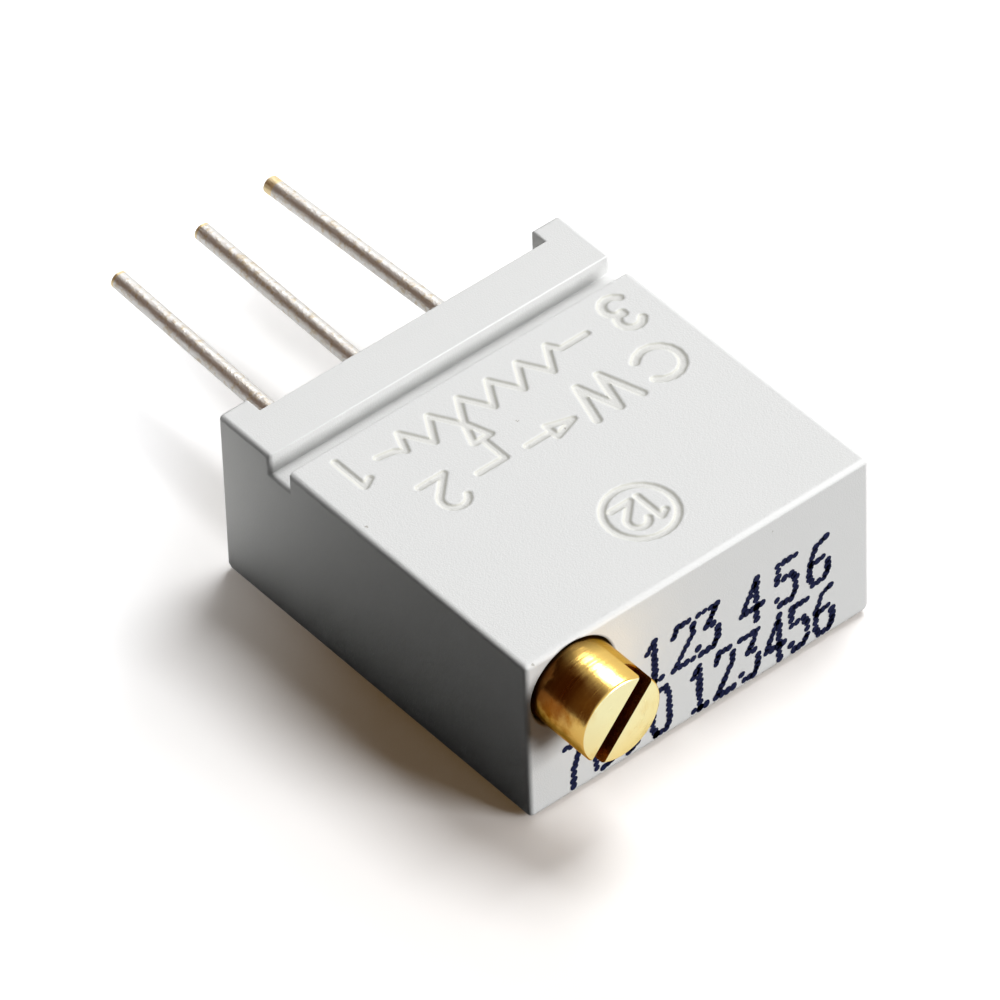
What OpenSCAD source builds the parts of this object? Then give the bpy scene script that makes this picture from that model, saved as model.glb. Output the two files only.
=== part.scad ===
// Multi-turn trimmer potentiometer with a slotted adjusting screw and three wire leads.
// It lies on its plain broad face: +Z up, +Y towards the leads, the screw at the -Y end.
// The origin is the centre of the plain broad face. All sizes are in millimetres.

/* [Body] */
// Width of the body, across the row of leads
body_w = 10.03; // [9.95:0.01:11]
// Length of the body, from the screw face to the recessed lead face
body_l = 10.22; // [10.18:0.01:11.5]
// Thickness of the body at its marked face
body_t = 4.79; // [4.74:0.01:5.4]
// Radius on the outer edges of the body
edge_r = 0.14; // [0.05:0.01:0.2]
// Thickness of the two side walls
side_wall = 0.7; // [0.4:0.01:0.76]
// Thickness of the wall at the screw end
front_wall = 0.75; // [0.6:0.01:0.78]
// Thickness of the wall under the working parts
floor_t = 0.75; // [0.5:0.01:0.9]
// Thickness of the wall over the working parts
roof_t = 0.63; // [0.5:0.01:0.66]

/* [Lead end] */
// Length of the raised rib along the lead end
rib_l = 1.33; // [1:0.01:1.36]
// Height of the rib above the marked face
rib_proud = 0.06; // [0.02:0.01:0.2]
// Width of the groove in front of the rib
groove_w = 0.65; // [0.4:0.01:0.68]
// Depth of the groove below the marked face
groove_d = 0.49; // [0.3:0.01:0.6]
// Wall left between the groove's floor and the mouth of the cavity
groove_wall = 0.45; // [0.3:0.01:0.6]
// Height of the two feet that hold the body off a board
foot_h = 0.5; // [0.3:0.01:0.9]
// Width of each foot
foot_w = 0.82; // [0.5:0.01:1.2]
// Thickness of the potting that closes the mouth
seal_t = 0.75; // [0.4:0.01:0.85]

/* [Adjusting screw] */
// Distance of the screw's axis from the side face
screw_from_side = 1.34; // [1.32:0.01:1.4]
// Distance of the screw's axis below the marked face
screw_from_top = 1.23; // [1.22:0.01:1.3]
// Diameter of the screw's head
head_d = 2.26; // [2.2:0.01:2.28]
// How far the head stands out of the screw face
head_out = 1.65; // [0.8:0.01:2.5]
// Width of the screwdriver slot
slot_w = 0.46; // [0.3:0.01:0.6]
// Depth of the screwdriver slot
slot_d = 0.55; // [0.3:0.01:0.8]
// Angle of the slot from the body's width at rest
slot_angle = 49; // [0:1:90]
// Diameter of the neck that the seal ring sits on
seal_neck_d = 1.56; // [1.4:0.01:1.7]
// Length of the groove that holds the seal ring
seal_groove_l = 0.45; // [0.4:0.01:0.5]
// Diameter of the neck that the retainer straddles
retainer_neck_d = 1.2; // [1.1:0.01:1.25]
// Diameter of the journal at the screw's inner end
journal_d = 1.2; // [0.9:0.01:1.25]
// Length of the journal in its bearing
journal_l = 1; // [0.6:0.01:1.2]

/* [Worm drive] */
// Pitch of the screw thread
thread_pitch = 0.65; // [0.6:0.01:0.66]
// Outer diameter of the screw thread
thread_d = 2.06; // [2.02:0.01:2.08]
// Number of whole turns of thread on the screw, an odd number
thread_turns = 5; // [5:2:7]
// Depth to which the teeth and the thread engage
tooth_depth = 0.325; // [0.28:0.005:0.34]
// Thickness of a wheel tooth at the pitch line
tooth_w = 0.24; // [0.18:0.01:0.25]
// Thickness of the thread at the pitch line
thread_w = 0.26; // [0.2:0.01:0.27]
// Slope of the flanks of the teeth and the thread
flank_angle = 20; // [15:1:20]
// Height of the wheel's toothed rim
rim_h = 0.9; // [0.7:0.01:1]
// Diameter of the pivot that hangs from the roof into the wheel
pivot_d = 1.2; // [0.9:0.01:1.4]
// Depth of the blind hole in the wheel
wheel_bore_depth = 0.76; // [0.6:0.01:0.8]

/* [Resistance element] */
// Thickness of the ceramic plate
plate_t = 0.65; // [0.5:0.01:0.7]
// Height of the rails that carry the plate
rail_h = 0.75; // [0.6:0.01:0.8]
// Width of each rail
rail_w = 0.8; // [0.5:0.01:1]
// Thickness of the printed films
film_t = 0.04; // [0.03:0.01:0.06]
// Radius at which the contact runs on the track
track_r = 2.7; // [2.6:0.01:2.8]
// Width of the track
track_w = 0.7; // [0.5:0.01:0.8]
// Angle that the track covers
track_angle = 280; // [278:1:290]
// Radius of the collector in the middle of the track
collector_r = 0.6; // [0.5:0.01:0.9]
// Width of the films where the leads are soldered
pad_w = 0.88; // [0.7:0.01:1]
// Length of the films where the leads are soldered
pad_l = 1.15; // [1:0.01:1.2]

/* [Contact spring] */
// Thickness of the spring's sheet metal
spring_t = 0.1; // [0.08:0.01:0.12]
// Radius of the spring's round plate
spring_plate_r = 1.25; // [1.1:0.01:1.4]
// Number of fingers on the track
fingers = 3; // [1:1:3]
// Width of each finger
finger_w = 0.22; // [0.15:0.01:0.25]
// Gap between two fingers
finger_gap = 0.12; // [0.08:0.01:0.15]

/* [Leads] */
// Distance between neighbouring leads
lead_pitch = 2.54; // [2.5:0.01:2.6]
// Diameter of the lead wire
lead_d = 0.46; // [0.4:0.01:0.5]
// Length of the leads beyond the feet
lead_out = 7.12; // [4:0.01:20]
// Extra length of the third lead
lead_3_extra = 0.2; // [0:0.01:1]
// Straight length of each lead beyond the lead face
lead_straight = 1.3; // [0.6:0.01:2]
// Lean of the first lead past its straight root, in degrees
lean_1 = 1.7; // [-3:0.1:3]
// Lean of the second lead
lean_2 = 1.1; // [-3:0.1:3]
// Lean of the third lead
lean_3 = -1.8; // [-3:0.1:3]

/* [Moulded marks] */
// Width of the recessed strokes
stroke_w = 0.22; // [0.15:0.01:0.3]
// Depth of the recessed strokes
stroke_d = 0.1; // [0.05:0.01:0.15]

/* [Clearances] */
// Radial running clearance of the screw's head in its bore
head_gap = 0.05; // [0.03:0.01:0.07]
// Radial running clearance of the journal and the pivot
bearing_gap = 0.04; // [0.02:0.01:0.06]
// Radial clearance around the thread
thread_gap = 0.05; // [0.04:0.01:0.07]
// Clearance at the tips of the teeth and the thread
tip_gap = 0.055; // [0.04:0.005:0.07]
// Clearance between the wheel and the walls around it
wheel_gap = 0.12; // [0.1:0.01:0.15]
// End clearance of pieces that turn against a face
end_gap = 0.04; // [0.02:0.01:0.06]
// Clearance under the contact fingers
contact_gap = 0.01; // [0.01:0.01:0.02]

/* [Hidden] */
$fn = 48;
eps = 0.01;

// The body's outer faces
front_y = -body_l / 2;
lead_face_y = body_l / 2;
foot_y = lead_face_y + foot_h;
side_x = body_w / 2;
rib_z = body_t + rib_proud;
rib_y = lead_face_y - rib_l;
groove_y = rib_y - groove_w;
groove_z = body_t - groove_d;

// The cavity for the wheel, and its lower mouth at the lead end
cavity_x = side_x - side_wall;
cavity_y = front_y + front_wall;
cavity_z = body_t - roof_t;
groove_side = 0.11;
mouth_y = groove_y - groove_side;
mouth_z = groove_z - groove_wall;

// The screw, along its axis from the outside inwards
screw_x = -side_x + screw_from_side;
screw_z = body_t - screw_from_top;
head_r = head_d / 2;
head_bore_r = head_r + head_gap;
head_l = 0.36;
land_l = 0.43;
retainer_neck_l = 0.52;
seal_y = front_y + head_l;
land_y = seal_y + seal_groove_l;
neck_y = land_y + land_l;
collar_y = neck_y + retainer_neck_l;
shoulder_y = neck_y + end_gap / 2;
thread_r = thread_d / 2;
collar_r = thread_r + 0.01;
channel_r = thread_r + thread_gap;

// The worm drive: the wheel lies in the middle of the cavity and has as many teeth as fit there
thread_pitch_r = thread_r - tooth_depth / 2;
mouth_gap = 0.1;
room_across = cavity_x - wheel_gap - tooth_depth / 2 - screw_x - thread_pitch_r;
room_along = mouth_y - mouth_gap - cavity_y - wheel_gap - tooth_depth;
wheel_teeth = floor(PI * min(room_across, room_along) / thread_pitch);
wheel_pitch_r = wheel_teeth * thread_pitch / (2 * PI);
thread_root_r = thread_pitch_r - tooth_depth / 2 - tip_gap;
wheel_tip_r = wheel_pitch_r + tooth_depth / 2;
wheel_root_r = wheel_pitch_r - tooth_depth / 2 - tip_gap;
lead_angle = atan(thread_pitch / (2 * PI * thread_pitch_r));
wheel_x = screw_x + thread_pitch_r + wheel_pitch_r;
wheel_y = (cavity_y + mouth_y) / 2;
wheel_top_z = cavity_z - end_gap;
rim_z = screw_z - rim_h / 2;
rim_top_z = rim_z + rim_h;
thread_l = thread_turns * thread_pitch;
thread_y = wheel_y - thread_l / 2;
thread_end_y = thread_y + thread_l;
thread_slices = 20 * thread_turns;
bearing_y = thread_end_y + wheel_gap;
journal_r = journal_d / 2;
journal_end_y = bearing_y + journal_l;
pivot_r = pivot_d / 2;
wheel_bore_r = pivot_r + bearing_gap;
thrust_ring_w = 0.4;
pivot_tip_gap = 0.06;
pivot_z = wheel_top_z - wheel_bore_depth + pivot_tip_gap;
tooth_sunk = 0.1;
tooth_short = 0.12;

// The two blocks in the cavity: one round the screw's head end, one round its journal
bearing_wall = 0.16;
bearing_end_wall = 0.28;
bearing_block_x = screw_x + journal_r + bearing_gap + bearing_wall;
bearing_block_y = journal_end_y + wheel_gap + bearing_end_wall;

// The end stop: a lug on the wheel's top meets a rib under the roof, just past each end of the travel
stop_inset = 0.35;
stop_w = 0.4;
stop_r = wheel_root_r - stop_inset;
lug_half_angle = 9;
stop_half_angle = 33;

// The resistance element
plate_z = floor_t + rail_h;
plate_top = plate_z + plate_t;
film_top = plate_top + film_t;
plate_side_gap = 0.15;
plate_end_gap = 0.25;
plate_notch_gap = 0.1;
plate_x = cavity_x - plate_side_gap;
plate_y0 = cavity_y + plate_end_gap;
seal_sunk = 0.11;
plate_y1 = lead_face_y - seal_sunk - seal_t;
pad_edge = 0.05;
pad_y = plate_y1 - pad_edge - pad_l;
collector_strip_w = 0.5;
contact_z = film_top + contact_gap;

// The leads
lead_r = lead_d / 2;
lead_z = film_top + lead_r;
lead_from_pad = 0.1;
lead_inner_y = pad_y + lead_from_pad;
lead_bend_y = lead_face_y + lead_straight;
lead_knuckle = 0.005;
tail_w = 0.55;
tail_t = 0.3;
tail_from_face = 0.05;
tail_end_y = plate_y1 + seal_t - tail_from_face;
lead_tip_y = foot_y + lead_out;
solder_r = 0.42;
solder_drop = 0.1;
solder_inset = 0.05;
solder_z = lead_z - solder_drop;

// The retainer, a stamped clip that straddles the screw's neck from the cavity side
retainer_t = 0.24;
retainer_gap = 0.02;
retainer_y = collar_y - end_gap - retainer_t;
retainer_up = 0.98;
retainer_down = 1.35;
retainer_back = 1.3;
retainer_tip = 0.62;
head_block_side = 0.28;
head_block_wall = 0.16;
block_x = screw_x + retainer_back + head_block_side;
block_y = retainer_y + retainer_t + retainer_gap + head_block_wall;

// The contact spring, from its plate down to the films
finger_root = 0.3;
finger_flat = 0.1;
finger_foot = 0.1;
finger_turn_up = 0.15;
tongue_w = 0.5;
tongue_foot = 0.12;
tongue_fold = 0.1;

PLASTIC = "#dcdddb";
BRASS = "#c9a24a";
TINNED = "#b9b6ae";
FILM_METAL = "#c9cbd0";

// A square from its lowest to its highest corner, with round corners
module rounded_rect(low, high, r) {
    translate([low[0] + r, low[1]]) square([high[0] - low[0] - 2 * r, high[1] - low[1]]);
    translate([low[0], low[1] + r]) square([high[0] - low[0], high[1] - low[1] - 2 * r]);
    for (x = [low[0] + r, high[0] - r], y = [low[1] + r, high[1] - r]) translate([x, y]) circle(r);
}

// A flat outline in X and Z, given its thickness from y0 to y1
module slab_y(y0, y1) {
    translate([0, y1, 0]) rotate([90, 0, 0]) linear_extrude(y1 - y0) children();
}

// A round bar along Y from y0 to y1
module bar_y(x, z, y0, y1, r) {
    translate([x, y0, z]) rotate([-90, 0, 0]) cylinder(h = y1 - y0, r = r);
}

// A box from its lowest to its highest corner
module box(low, high) {
    translate(low) cube(high - low);
}

// A box whose outer edges are all rounded
module rounded_box(low, high, r) {
    intersection() {
        translate([0, 0, low[2]]) linear_extrude(high[2] - low[2])
            rounded_rect([low[0], low[1]], [high[0], high[1]], r);
        slab_y(low[1], high[1]) rounded_rect([low[0], low[2]], [high[0], high[2]], r);
        translate([low[0], 0, 0]) rotate([90, 0, 90]) linear_extrude(high[0] - low[0])
            rounded_rect([low[1], low[2]], [high[1], high[2]], r);
    }
}

// A flat ring, or a part of one, about the wheel's axis
module wheel_ring(z0, z1, r0, r1, from = 0, sweep = 360) {
    translate([wheel_x, wheel_y, z0]) rotate([0, 0, from]) rotate_extrude(angle = sweep)
        translate([r0, 0]) square([r1 - r0, z1 - z0]);
}

// The moulded marks: strokes in a reader's frame, u to the right and v up, with the screw end on top
function arc_points(c, r, from, to, n = 8) =
    [for (i = [0:n]) let (a = from + (to - from) * i / n) c + r * [cos(a), sin(a)]];
ONE = [[[0.05, 0.86], [0.3, 1], [0.3, 0]]];
TWO = [concat(arc_points([0.32, 0.7], 0.3, 160, -35), [[0.02, 0], [0.68, 0]])];
THREE = [concat(arc_points([0.3, 0.745], 0.255, 150, -90), arc_points([0.3, 0.27], 0.27, 90, -150))];
LETTER_C = [arc_points([0.5, 0.5], 0.5, 40, 320, 12)];
LETTER_W = [[[0, 1], [0.32, 0], [0.6, 1], [0.9, 0], [1.2, 1]]];
ZIGZAG = concat(
    [[3.18, -2.2], [2.75, -2.12], [2.55, -1.95]],
    [for (i = [0:10]) [2.32 - 0.434 * i, -2.12 + (i % 2 == 0 ? -0.38 : 0.38)]],
    [[-2.2, -2.2], [-2.95, -2.2]]
);
ARROWS = [
    [[1, -1.78], [0.78, -1.12], [1.26, -1.12], [1, -1.78]],
    [[1.02, -1.12], [1.02, -0.32], [1.8, -0.32]],
    [[-0.92, -0.27], [-0.3, -0.48], [-0.3, -0.06], [-0.92, -0.27]],
    [[-0.3, -0.27], [0.42, -0.27]],
];
CAVITY_RING = [arc_points([-0.1, 3], 0.86, 0, 360, 24)];
function placed(glyph, corner, height) = [for (line = glyph) [for (p = line) corner + height * p]];
MARKS = concat(
    placed(THREE, [-4.35, -2.76], 1.14), placed(LETTER_C, [-4.11, -0.93], 1.1),
    placed(LETTER_W, [-2.63, -0.98], 1.11), placed(ONE, [3.66, -2.72], 1.05),
    placed(TWO, [2.36, -0.84], 1.08), placed(ONE, [-0.62, 2.58], 0.84),
    placed(TWO, [-0.16, 2.58], 0.84), [ZIGZAG], ARROWS, CAVITY_RING
);

// One stroke of a mark, each end rounded by six flats
module stroke(from, to) {
    run = to - from;
    cap = [for (i = [-3:3]) stroke_w / 2 * [cos(30 * i), sin(30 * i)]];
    translate(from) rotate(atan2(run[1], run[0]))
        polygon([for (p = cap) p + [norm(run), 0], for (p = cap) -p]);
}

module moulded_marks() {
    translate([0, 0, body_t - stroke_d]) rotate([0, 0, 180]) linear_extrude(stroke_d + eps)
        for (line = MARKS, i = [0:len(line) - 2]) stroke(line[i], line[i + 1]);
}

// The hollow of the housing, less the blocks that carry the screw
module cavity() {
    difference() {
        box([-cavity_x, cavity_y, floor_t], [cavity_x, mouth_y + eps, cavity_z]);
        box([-side_x, front_y, floor_t - eps], [block_x, block_y, cavity_z + eps]);
        box([-side_x, bearing_y, screw_z - head_r], [bearing_block_x, bearing_block_y, cavity_z + eps]);
    }
    box([-cavity_x, mouth_y, floor_t], [cavity_x, foot_y + eps, mouth_z]);
}

module screw_bores() {
    bar_y(screw_x, screw_z, front_y - eps, shoulder_y, head_bore_r);
    bar_y(screw_x, screw_z, shoulder_y - eps, bearing_y, channel_r);
    bar_y(screw_x, screw_z, bearing_y - eps, journal_end_y + wheel_gap, journal_r + bearing_gap);
}

module retainer_slot() {
    gap = retainer_gap;
    box(
        [screw_x - retainer_tip - gap, retainer_y - gap, screw_z - retainer_down - gap],
        [block_x + eps, retainer_y + retainer_t + gap, screw_z + retainer_up + gap]
    );
}

module housing() {
    color(PLASTIC) {
        difference() {
            union() {
                rounded_box([-side_x, front_y, 0], [side_x, foot_y, body_t], edge_r);
                rounded_box([-side_x, rib_y, 0], [side_x, foot_y, rib_z], edge_r);
            }
            box([-side_x - eps, groove_y, groove_z], [side_x + eps, rib_y, rib_z + eps]);
            box([-side_x + foot_w, lead_face_y, -eps], [side_x - foot_w, foot_y + eps, rib_z + eps]);
            cavity();
            screw_bores();
            retainer_slot();
            moulded_marks();
        }
        // The pivot and the stop rib hang from the roof
        translate([wheel_x, wheel_y, pivot_z]) cylinder(h = cavity_z + eps - pivot_z, r = pivot_r);
        wheel_ring(rim_top_z + end_gap, cavity_z + eps, stop_r, stop_r + stop_w,
            90 - stop_half_angle, 2 * stop_half_angle);
        // The rails that carry the ceramic plate
        for (side = [-1, 1]) {
            x = side * (plate_x - rail_w);
            box([x - rail_w / 2, cavity_y - eps, floor_t - eps], [x + rail_w / 2, plate_y1, plate_z]);
        }
    }
}

// One turn of the thread, seen along the axis: the trapezoid thread form wrapped once round the root
function thread_outline() =
    let (
        crest = thread_w - tooth_depth * tan(flank_angle),
        foot = thread_w + 2 * (thread_pitch_r - thread_root_r) * tan(flank_angle),
        crest_a = 180 * crest / thread_pitch,
        foot_a = 180 * foot / thread_pitch,
        top = [crest_a, thread_r],
        bottom = [foot_a, thread_root_r],
        half = concat(
            [for (i = [0:2]) [crest_a * i / 2, thread_r]],
            [for (i = [1:3]) top + (bottom - top) * i / 4],
            [for (i = [0:3]) [foot_a + (180 - foot_a) * i / 3, thread_root_r]]
        ),
        all = concat(half, [for (i = [len(half) - 2:-1:1]) [-half[i][0], half[i][1]]])
    )
    [for (p = all) p[1] * [cos(p[0]), sin(p[0])]];

module adjustment_screw() {
    color(BRASS) {
        difference() {
            bar_y(screw_x, screw_z, front_y - head_out, seal_y, head_r);
            translate([screw_x, front_y - head_out, screw_z]) rotate([0, -slot_angle, 0])
                box([-head_d, -eps, -slot_w / 2], [head_d, slot_d, slot_w / 2]);
        }
        bar_y(screw_x, screw_z, seal_y, land_y, seal_neck_d / 2);
        bar_y(screw_x, screw_z, land_y, neck_y, head_r);
        bar_y(screw_x, screw_z, neck_y, collar_y, retainer_neck_d / 2);
        bar_y(screw_x, screw_z, collar_y, thread_y + eps, collar_r);
        translate([screw_x, thread_y, screw_z]) rotate([-90, 0, 0])
            linear_extrude(thread_l, twist = -360 * thread_turns, slices = thread_slices, segments = 1)
                polygon(thread_outline());
        bar_y(screw_x, screw_z, thread_y, journal_end_y, journal_r);
    }
}

module seal_ring() {
    section_r = (head_r - seal_neck_d / 2) / 2;
    color("#3a3a3c") translate([screw_x, seal_y + seal_groove_l / 2, screw_z]) rotate([-90, 0, 0])
        rotate_extrude() translate([seal_neck_d / 2 + section_r, 0]) circle(section_r);
}

module screw_retainer() {
    notch_r = retainer_neck_d / 2 + retainer_gap;
    color("#9a9da1") slab_y(retainer_y, retainer_y + retainer_t) translate([screw_x, screw_z])
        difference() {
            translate([-retainer_tip, -retainer_down])
                square([retainer_tip + retainer_back, retainer_down + retainer_up]);
            circle(notch_r);
            translate([-retainer_tip - eps, -notch_r]) square([retainer_tip + eps, 2 * notch_r]);
        }
}

// One tooth, slanted by the thread's lead angle, with its foot sunk into the rim
module wheel_tooth() {
    foot_r = wheel_root_r - tooth_sunk;
    tip = tooth_w / 2 - tooth_depth / 2 * tan(flank_angle);
    foot = tooth_w / 2 + (wheel_pitch_r - foot_r) * tan(flank_angle);
    tooth_h = rim_h - tooth_short;
    rotate([-lead_angle, 0, 0]) translate([0, 0, -tooth_h / 2]) linear_extrude(tooth_h)
        polygon([[foot_r, -foot], [wheel_tip_r, -tip], [wheel_tip_r, tip], [foot_r, foot]]);
}

module worm_wheel() {
    color("#2f6f8f") {
        difference() {
            union() {
                translate([wheel_x, wheel_y, rim_z]) cylinder(h = rim_h, r = wheel_root_r);
                translate([wheel_x, wheel_y, rim_z])
                    cylinder(h = wheel_top_z - rim_z, r = wheel_bore_r + thrust_ring_w);
                for (i = [0:wheel_teeth - 1])
                    translate([wheel_x, wheel_y, screw_z]) rotate([0, 0, 180 + 360 * i / wheel_teeth])
                        wheel_tooth();
            }
            translate([wheel_x, wheel_y, wheel_top_z - wheel_bore_depth])
                cylinder(h = wheel_bore_depth + eps, r = wheel_bore_r);
        }
        // The stop lug
        wheel_ring(rim_top_z - eps, wheel_top_z, stop_r, stop_r + stop_w, -90 - lug_half_angle,
            2 * lug_half_angle);
    }
}

// A bent strip of the spring's sheet, w wide across y: its lower side is given in x and z
module strip(y, w, lower) {
    upper = [for (i = [len(lower) - 1:-1:0]) lower[i] + [0, spring_t]];
    translate([0, y + w / 2, 0]) rotate([90, 0, 0]) linear_extrude(w) polygon(concat(lower, upper));
}

module contact_spring() {
    sheet_z = rim_z - spring_t;
    fold_x = -spring_plate_r - tongue_fold;
    color("#c8b27a") translate([wheel_x, wheel_y, 0]) rotate([0, 0, -90]) {
        translate([0, 0, sheet_z]) cylinder(h = spring_t, r = spring_plate_r);
        // The fingers slope down to the track, and their ends turn up
        for (i = [0:fingers - 1]) strip((i - (fingers - 1) / 2) * (finger_w + finger_gap), finger_w, [
            [spring_plate_r - finger_root, sheet_z],
            [spring_plate_r + finger_flat, sheet_z],
            [track_r - finger_foot, contact_z],
            [track_r + finger_foot, contact_z],
            [track_r + finger_foot + finger_turn_up, contact_z + finger_turn_up],
        ]);
        // The tongue folds back under the plate and slopes down to the collector
        strip(0, tongue_w, [[fold_x + tongue_fold + finger_root, sheet_z], [fold_x, sheet_z]]);
        strip(0, tongue_w, [[fold_x, sheet_z], [-tongue_foot, contact_z], [tongue_foot, contact_z]]);
    }
}

// The plate's corner is notched round the block that carries the screw's head end
module ceramic_plate() {
    notch = [block_x + plate_notch_gap, block_y + plate_notch_gap, plate_top + eps];
    color("#f1efe6") difference() {
        box([-plate_x, plate_y0, plate_z], [plate_x, plate_y1, plate_top]);
        box([-plate_x - eps, plate_y0 - eps, plate_z - eps], notch);
    }
}

module track_shape() {
    wheel_ring(plate_top, film_top, track_r - track_w / 2, track_r + track_w / 2,
        90 + (360 - track_angle) / 2, track_angle);
}

module resistive_track() {
    color("#2b2b2e") track_shape();
}

// A printed film from the points a and b on the element to the pad under the lead at x
module film_to_pad(x, a, b) {
    linear_extrude(film_t) polygon([
        a, [x - pad_w / 2, pad_y], [x - pad_w / 2, pad_y + pad_l], [x + pad_w / 2, pad_y + pad_l],
        [x + pad_w / 2, pad_y], b,
    ]);
}

// The film at one end of the track: it starts on the track's end face and runs to its pad
module end_film(side) {
    end_a = 90 - side * (360 - track_angle) / 2;
    radial = [cos(end_a), sin(end_a)];
    inner = [wheel_x, wheel_y] + (track_r - track_w / 2) * radial;
    outer = [wheel_x, wheel_y] + (track_r + track_w / 2) * radial;
    color(FILM_METAL) translate([0, 0, plate_top])
        film_to_pad(side * lead_pitch, side > 0 ? inner : outer, side > 0 ? outer : inner);
}

module collector_film() {
    half = collector_strip_w / 2;
    color(FILM_METAL) translate([0, 0, plate_top]) {
        translate([wheel_x, wheel_y]) cylinder(h = film_t, r = collector_r);
        film_to_pad(0, [wheel_x - half, wheel_y], [wheel_x + half, wheel_y]);
    }
}

// The straight root of a lead from y0 to y1: its inner end is coined flat, so that the potting holds it
module lead_root(x, y0, y1) {
    tail_y1 = min(y1, tail_end_y + eps);
    box([x - tail_w / 2, y0, lead_z - tail_t / 2], [x + tail_w / 2, tail_y1, lead_z + tail_t / 2]);
    if (y1 > tail_end_y) bar_y(x, lead_z, tail_end_y, y1, lead_r);
}

// A lead wire: straight from its pad through the potting, then leaning a little to its cut end
module lead(number, lean, extra) {
    x = (number - 2) * lead_pitch;
    leaning_l = (lead_tip_y + extra - lead_bend_y) / cos(lean);
    color(TINNED) {
        lead_root(x, lead_inner_y, lead_bend_y);
        translate([x, lead_bend_y, lead_z]) {
            sphere(lead_r + lead_knuckle);
            rotate([-90, 0, -lean]) cylinder(h = leaning_l, r = lead_r);
        }
    }
}

module solder(number) {
    x = (number - 2) * lead_pitch;
    y0 = pad_y + solder_inset;
    y1 = pad_y + pad_l - solder_inset;
    color("#c4c6c8") difference() {
        bar_y(x, solder_z, y0, y1, solder_r);
        box([x - solder_r - eps, y0 - eps, 0], [x + solder_r + eps, y1 + eps, film_top]);
        lead_root(x, lead_inner_y, y1 + eps);
    }
}

module end_seal() {
    color("#8d8a80") difference() {
        box([-cavity_x, plate_y1, floor_t], [cavity_x, plate_y1 + seal_t, mouth_z]);
        for (i = [-1, 0, 1])
            lead_root(i * lead_pitch, plate_y1 - eps, plate_y1 + seal_t + eps);
    }
}

housing();
adjustment_screw();
seal_ring();
screw_retainer();
worm_wheel();
contact_spring();
ceramic_plate();
resistive_track();
collector_film();
end_film(-1);  // end_film_1
end_film(1);  // end_film_3
lead(1, lean_1, 0);  // lead_1
lead(2, lean_2, 0);  // lead_2
lead(3, lean_3, lead_3_extra);  // lead_3
solder(1);  // solder_1
solder(2);  // solder_2
solder(3);  // solder_3
end_seal();
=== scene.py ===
"""A multi-turn trimmer potentiometer with a slotted brass screw, lying on its plain face on a table."""
import math
import random

import bmesh
import bpy
import numpy as np
from mathutils import Matrix, Vector


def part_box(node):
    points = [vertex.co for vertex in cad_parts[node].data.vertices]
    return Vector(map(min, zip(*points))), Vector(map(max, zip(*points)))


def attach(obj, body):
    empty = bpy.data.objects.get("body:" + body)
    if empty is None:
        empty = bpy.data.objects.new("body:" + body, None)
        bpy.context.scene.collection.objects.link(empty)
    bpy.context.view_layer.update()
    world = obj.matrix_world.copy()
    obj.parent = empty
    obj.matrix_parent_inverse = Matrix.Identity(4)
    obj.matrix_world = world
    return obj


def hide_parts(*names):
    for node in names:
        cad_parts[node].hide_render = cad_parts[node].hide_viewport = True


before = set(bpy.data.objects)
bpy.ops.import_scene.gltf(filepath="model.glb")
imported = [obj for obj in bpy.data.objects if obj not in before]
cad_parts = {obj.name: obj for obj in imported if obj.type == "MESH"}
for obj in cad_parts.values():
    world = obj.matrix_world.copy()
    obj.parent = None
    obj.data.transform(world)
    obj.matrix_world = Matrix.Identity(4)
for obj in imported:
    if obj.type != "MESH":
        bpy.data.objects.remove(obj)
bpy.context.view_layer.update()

# --- Case -------------------------------------------------------------------------------------
# A five-sided box of pale grey glass-filled plastic, moulded in one shot. Its marks are sunk in the broad
# face by the mould, a rib and two feet stand at the lead end, and the screw's bore comes in at one corner.
MM = 0.001


def box_of(node):
    """A CAD node's lowest and highest corners, in millimetres."""
    return [Vector(corner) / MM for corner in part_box(node)]


case_low, case_high = box_of("housing")
side = case_high.x
front = case_low.y
foot_end = case_high.y
rib_top = case_high.z
top = 4.79
lead_face = 5.11
rib_start = 3.78
groove_start = 3.13
groove_floor = 4.30
foot_side = side - 0.82
top_edge = 0.14
bottom_edge = 0.28
mark_depth = 0.04
screw_axis = (-3.675, 3.56)


def add(tree, kind, sockets=None, **settings):
    """A shader node with its settings, and values or links on its sockets."""
    made = tree.nodes.new("ShaderNode" + kind)
    for setting, value in settings.items():
        setattr(made, setting, value)
    for socket, value in (sockets or {}).items():
        if isinstance(value, bpy.types.NodeSocket):
            tree.links.new(value, made.inputs[socket])
        else:
            made.inputs[socket].default_value = value
    return made


def maths(tree, operation, a, b=0.0):
    """The result of one sum on two numbers or sockets."""
    return add(tree, "Math", {0: a, 1: b}, operation=operation).outputs[0]


def measure(tree, operation, place, other=(0, 0, 0)):
    """One number out of two places: a length, a distance, or how far along a direction."""
    return add(tree, "VectorMath", {0: place, 1: other}, operation=operation).outputs["Value"]


def ramp(tree, value, start, stop, low=0.0, high=1.0, soft=False):
    """A number that goes from low to high as the value goes from start to stop."""
    ends = {"Value": value, "From Min": start, "From Max": stop, "To Min": low, "To Max": high}
    kind = "SMOOTHSTEP" if soft else "LINEAR"
    return add(tree, "MapRange", ends, interpolation_type=kind).outputs[0]


def noise(tree, place, scale, detail, roughness=0.5):
    """Soft random unevenness, with scale as its waves per metre."""
    sockets = {"Vector": place, "Scale": scale, "Detail": detail, "Roughness": roughness}
    return add(tree, "TexNoise", sockets).outputs[0]


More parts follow.
